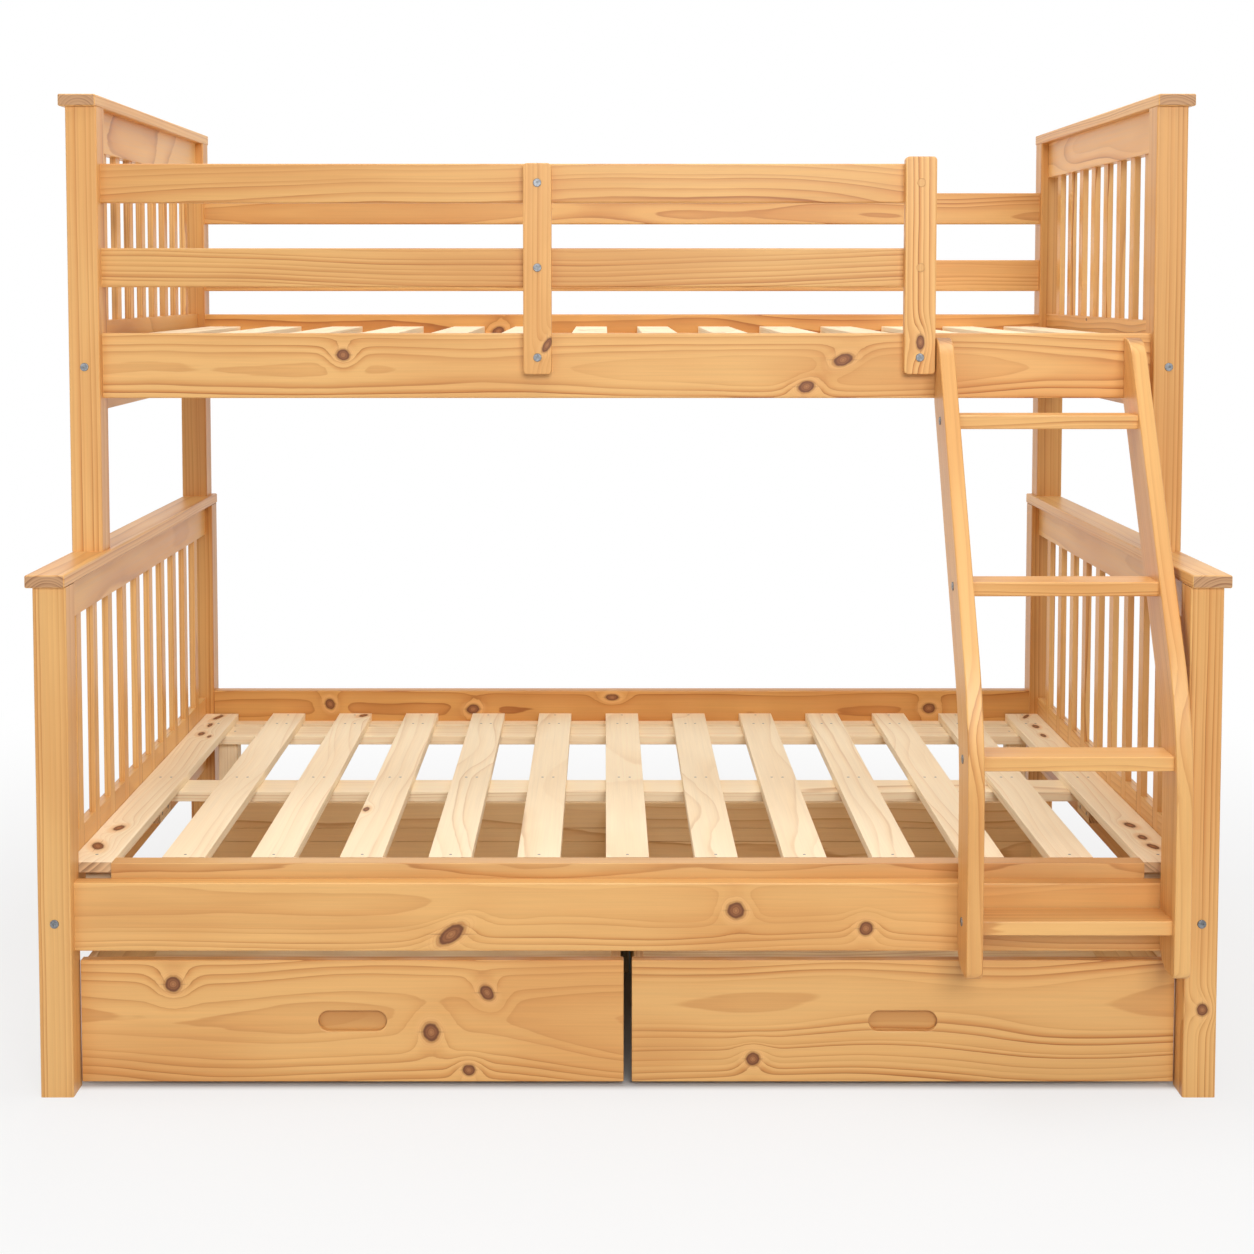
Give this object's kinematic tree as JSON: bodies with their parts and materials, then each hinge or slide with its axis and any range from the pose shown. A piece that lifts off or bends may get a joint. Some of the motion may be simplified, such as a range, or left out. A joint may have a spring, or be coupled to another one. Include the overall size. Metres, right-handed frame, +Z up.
{
  "type": "bunk bed",
  "caption": "Pine bunk bed: a narrow upper bunk on a wider lower bunk, with spindle ends, guard rails, a bent ladder and rolling underbed drawers.",
  "frame": {"origin": "on the floor, in the middle of the whole outline's length and depth, ladder included", "axes": "+X along the bed towards the ladder end, -Y towards the ladder and the drawer fronts, +Z up"},
  "size_m": [2.074, 1.366, 1.75],
  "materials": {
    "lacquered_pine": "satin clear lacquer over knotty pine",
    "raw_pine": "planed, unfinished pale pine",
    "drawer_ply": "thin unfinished plywood",
    "fixing_steel": "zinc plated, dull",
    "fork_plastic": "moulded black nylon",
    "wheel_plastic": "moulded dark grey nylon"
  },
  "bodies": {
    "frame": {"back_guard_rails": "lacquered_pine", "barrel_nuts": "fixing_steel", "beam_cleats": "raw_pine", "beam_legs": "raw_pine", "brace_bolts": "fixing_steel", "brace_plugs": "lacquered_pine", "deck_batten": "lacquered_pine", "end_brace": "lacquered_pine", "frame_bolts": "fixing_steel", "front_guard_rails": "lacquered_pine", "ladder_bolts": "fixing_steel", "ladder_left_board": "lacquered_pine", "ladder_right_board": "lacquered_pine", "ladder_rungs": "lacquered_pine", "ledger_screws": "fixing_steel", "lower_back_left_post": "lacquered_pine", "lower_back_right_post": "lacquered_pine", "lower_back_side_rail": "lacquered_pine", "lower_end_rails": "lacquered_pine", "lower_front_left_post": "lacquered_pine", "lower_front_right_post": "lacquered_pine", "lower_front_side_rail": "lacquered_pine", "lower_ledgers": "raw_pine", "lower_left_cap": "lacquered_pine", "lower_right_cap": "lacquered_pine", "lower_slats": "raw_pine", "lower_spindles": "lacquered_pine", "lower_top_boards": "lacquered_pine", "middle_brace": "lacquered_pine", "post_pins": "fixing_steel", "slat_nails": "fixing_steel", "support_beams": "raw_pine", "upper_back_left_post": "lacquered_pine", "upper_back_right_post": "lacquered_pine", "upper_back_side_rail": "lacquered_pine", "upper_end_rails": "lacquered_pine", "upper_front_left_post": "lacquered_pine", "upper_front_right_post": "lacquered_pine", "upper_front_side_rail": "lacquered_pine", "upper_ledgers": "raw_pine", "upper_left_cap": "lacquered_pine", "upper_right_cap": "lacquered_pine", "upper_slats": "raw_pine", "upper_spindles": "lacquered_pine", "upper_top_boards": "lacquered_pine", "wood_dowels": "raw_pine"},
    "left_drawer": {"left_drawer_front": "lacquered_pine", "left_drawer_sides": "lacquered_pine", "left_drawer_back": "lacquered_pine", "left_drawer_bottom": "drawer_ply", "left_drawer_forks": "fork_plastic"},
    "left_front_wheels": {"left_drawer_front_wheels": "wheel_plastic"},
    "left_rear_wheels": {"left_drawer_rear_wheels": "wheel_plastic"},
    "right_drawer": {"right_drawer_front": "lacquered_pine", "right_drawer_sides": "lacquered_pine", "right_drawer_back": "lacquered_pine", "right_drawer_bottom": "drawer_ply", "right_drawer_forks": "fork_plastic"},
    "right_front_wheels": {"right_drawer_front_wheels": "wheel_plastic"},
    "right_rear_wheels": {"right_drawer_rear_wheels": "wheel_plastic"}
  },
  "joints": [
    {"name": "left_drawer_slide", "type": "slide", "parent": "frame", "child": "left_drawer", "axis": [0, -1, 0], "range_m": [0, 0.8]},
    {"name": "right_drawer_slide", "type": "slide", "parent": "frame", "child": "right_drawer", "axis": [0, -1, 0], "range_m": [0, 0.8]},
    {"name": "left_front_wheels_roll", "type": "hinge", "parent": "left_drawer", "child": "left_front_wheels", "pos_m": [-0.48125, -0.475, 0.025], "axis": [1, 0, 0], "continuous": true},
    {"name": "left_rear_wheels_roll", "type": "hinge", "parent": "left_drawer", "child": "left_rear_wheels", "pos_m": [-0.48125, 0.415, 0.025], "axis": [1, 0, 0], "continuous": true},
    {"name": "right_front_wheels_roll", "type": "hinge", "parent": "right_drawer", "child": "right_front_wheels", "pos_m": [0.48125, -0.475, 0.025], "axis": [1, 0, 0], "continuous": true},
    {"name": "right_rear_wheels_roll", "type": "hinge", "parent": "right_drawer", "child": "right_rear_wheels", "pos_m": [0.48125, 0.415, 0.025], "axis": [1, 0, 0], "continuous": true}
  ],
  "couplings": [
    {"joint": "left_front_wheels_roll", "follows": "left_drawer_slide", "rad_per_m": 40},
    {"joint": "left_rear_wheels_roll", "follows": "left_drawer_slide", "rad_per_m": 40},
    {"joint": "right_front_wheels_roll", "follows": "right_drawer_slide", "rad_per_m": 40},
    {"joint": "right_rear_wheels_roll", "follows": "right_drawer_slide", "rad_per_m": 40}
  ]
}
